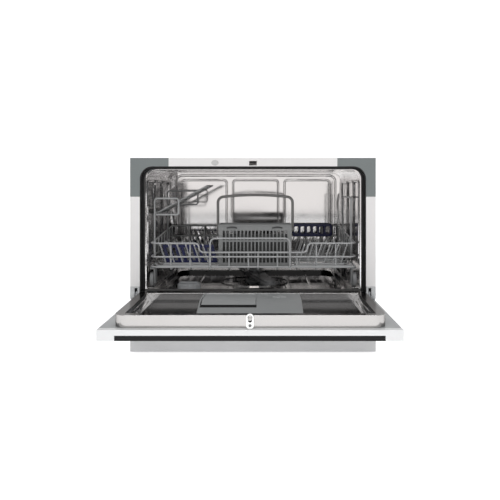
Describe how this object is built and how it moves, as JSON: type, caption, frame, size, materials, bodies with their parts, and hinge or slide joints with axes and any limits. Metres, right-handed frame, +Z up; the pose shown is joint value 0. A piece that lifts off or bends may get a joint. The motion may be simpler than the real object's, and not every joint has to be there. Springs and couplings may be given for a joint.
{
  "type": "countertop dishwasher",
  "caption": "Countertop dishwasher with a drop-down door, a steel tub, a roll-out wire rack with cutlery basket and folding cup shelf, and a turning spray arm.",
  "frame": {"origin": "on the worktop, under the middle of the machine's box with the door lying open", "axes": "+X to the right as the user sees the machine, +Y to its back, +Z up"},
  "size_m": [0.55, 0.765, 0.438],
  "materials": {
    "white_paint": "satin enamel",
    "grey_paint": "satin enamel",
    "white_plastic": "smooth",
    "trim_grey": "fine grain",
    "dark_plastic": "moulded",
    "black_rubber": "matte",
    "stainless": "bright, rolled",
    "zinc_steel": "zinc plated",
    "spring_steel": "drawn wire",
    "coated_wire": "nylon coat",
    "grey_plastic": "moulded",
    "light_plastic": "moulded",
    "navy_plastic": "moulded",
    "fascia_black": "polished",
    "button_grey": "polished",
    "board_green": "lacquered"
  },
  "bodies": {
    "cabinet": {"base_tray": "dark_plastic", "plinth": "grey_paint", "feet": "black_rubber", "side_panel_left": "white_paint", "side_panel_right": "white_paint", "top_cover": "white_paint", "back_panel": "grey_paint", "front_frame": "white_plastic", "corner_trims": "trim_grey", "hinge_covers": "trim_grey", "tub": "stainless", "tub_floor": "stainless", "door_seal": "black_rubber", "sill_seal": "black_rubber", "hinge_brackets": "zinc_steel", "hinge_springs": "spring_steel", "latch_housing": "white_plastic", "sump": "dark_plastic", "filter_plate": "stainless", "spray_hub": "grey_plastic", "circulation_pump": "dark_plastic", "drain_pump": "dark_plastic", "softener": "white_plastic", "inlet_valve": "white_plastic", "drain_outlet": "grey_plastic", "power_gland": "dark_plastic", "air_break": "white_plastic"},
    "spray": {"spray_arm": "light_plastic"},
    "filter": {"coarse_filter": "grey_plastic"},
    "salt": {"salt_cap": "light_plastic"},
    "door": {"door_panel": "white_paint", "door_frame": "trim_grey", "door_liner": "stainless", "control_panel": "fascia_black", "display_window": "fascia_black", "control_board": "board_green", "hinge_arms": "zinc_steel", "latch_hook": "white_plastic", "dispenser": "grey_plastic"},
    "lid": {"detergent_lid": "grey_plastic"},
    "rinse": {"rinse_cap": "light_plastic"},
    "power": {"power_button": "button_grey"},
    "program": {"program_button": "button_grey"},
    "delay": {"delay_button": "button_grey"},
    "start": {"start_button": "button_grey"},
    "rack": {"rack_front": "coated_wire", "rack_rear": "coated_wire", "rack_sides": "coated_wire", "rack_floor": "coated_wire", "rack_tines": "coated_wire", "rear_insert": "navy_plastic", "cup_insert": "navy_plastic", "roller_brackets": "grey_plastic", "shelf_bracket": "coated_wire"},
    "wheels_front": {"front_rollers": "grey_plastic"},
    "wheels_rear": {"rear_rollers": "grey_plastic"},
    "shelf": {"cup_shelf": "grey_plastic"},
    "basket": {"cutlery_basket": "grey_plastic", "basket_dividers": "grey_plastic"},
    "handle": {"cutlery_handle": "grey_plastic"}
  },
  "joints": [
    {"name": "door_hinge", "type": "hinge", "parent": "cabinet", "child": "door", "pos_m": [0, -0.0835, 0.132], "axis": [-1, 0, 0], "range_deg": [0, 90], "stiffness_Nm_per_rad": 2, "springref_deg": 90},
    {"name": "rack_slide", "type": "slide", "parent": "cabinet", "child": "rack", "axis": [0, 1, 0], "range_m": [-0.28, 0]},
    {"name": "front_wheel_roll", "type": "hinge", "parent": "rack", "child": "wheels_front", "pos_m": [0, -0.0465, 0.16], "axis": [-1, 0, 0], "range_deg": [-980, 0]},
    {"name": "rear_wheel_roll", "type": "hinge", "parent": "rack", "child": "wheels_rear", "pos_m": [0, 0.2705, 0.16], "axis": [-1, 0, 0], "range_deg": [-980, 0]},
    {"name": "spray_arm_turn", "type": "hinge", "parent": "cabinet", "child": "spray", "pos_m": [0, 0.1145, 0.147], "axis": [0, 0, 1], "continuous": true},
    {"name": "basket_lift", "type": "slide", "parent": "rack", "child": "basket", "axis": [0, 0, 1], "range_m": [0, 0.045]},
    {"name": "handle_swing", "type": "hinge", "parent": "basket", "child": "handle", "pos_m": [0.004, -0.014, 0.27185], "axis": [-1, 0, 0], "range_deg": [0, 85]},
    {"name": "shelf_fold", "type": "hinge", "parent": "rack", "child": "shelf", "pos_m": [-0.23095, 0.0662, 0.3106], "axis": [0, -1, 0], "range_deg": [-28.5, 0]},
    {"name": "detergent_lid_slide", "type": "slide", "parent": "door", "child": "lid", "axis": [0, -1, 0], "range_m": [-0.036, 0]},
    {"name": "rinse_cap_turn", "type": "hinge", "parent": "door", "child": "rinse", "pos_m": [0.057, -0.1755, 0.1339], "axis": [0, 0, 1], "range_deg": [0, 90]},
    {"name": "salt_cap_turn", "type": "hinge", "parent": "cabinet", "child": "salt", "pos_m": [-0.154, 0.0025, 0.131], "axis": [0, 0, 1], "range_deg": [0, 90]},
    {"name": "coarse_filter_turn", "type": "hinge", "parent": "cabinet", "child": "filter", "pos_m": [0.038, 0.0775, 0.13], "axis": [0, 0, 1], "range_deg": [0, 90]},
    {"name": "power_button_push", "type": "slide", "parent": "door", "child": "power", "axis": [0, 0, 1], "range_m": [0, 0.0012], "stiffness_N_per_m": 500, "springref_m": -0.002},
    {"name": "program_button_push", "type": "slide", "parent": "door", "child": "program", "axis": [0, 0, 1], "range_m": [0, 0.0012], "stiffness_N_per_m": 500, "springref_m": -0.002},
    {"name": "delay_button_push", "type": "slide", "parent": "door", "child": "delay", "axis": [0, 0, 1], "range_m": [0, 0.0012], "stiffness_N_per_m": 500, "springref_m": -0.002},
    {"name": "start_button_push", "type": "slide", "parent": "door", "child": "start", "axis": [0, 0, 1], "range_m": [0, 0.0012], "stiffness_N_per_m": 500, "springref_m": -0.002}
  ],
  "couplings": [
    {"joint": "front_wheel_roll", "follows": "rack_slide", "rad_per_m": 60.606},
    {"joint": "rear_wheel_roll", "follows": "rack_slide", "rad_per_m": 60.606}
  ]
}
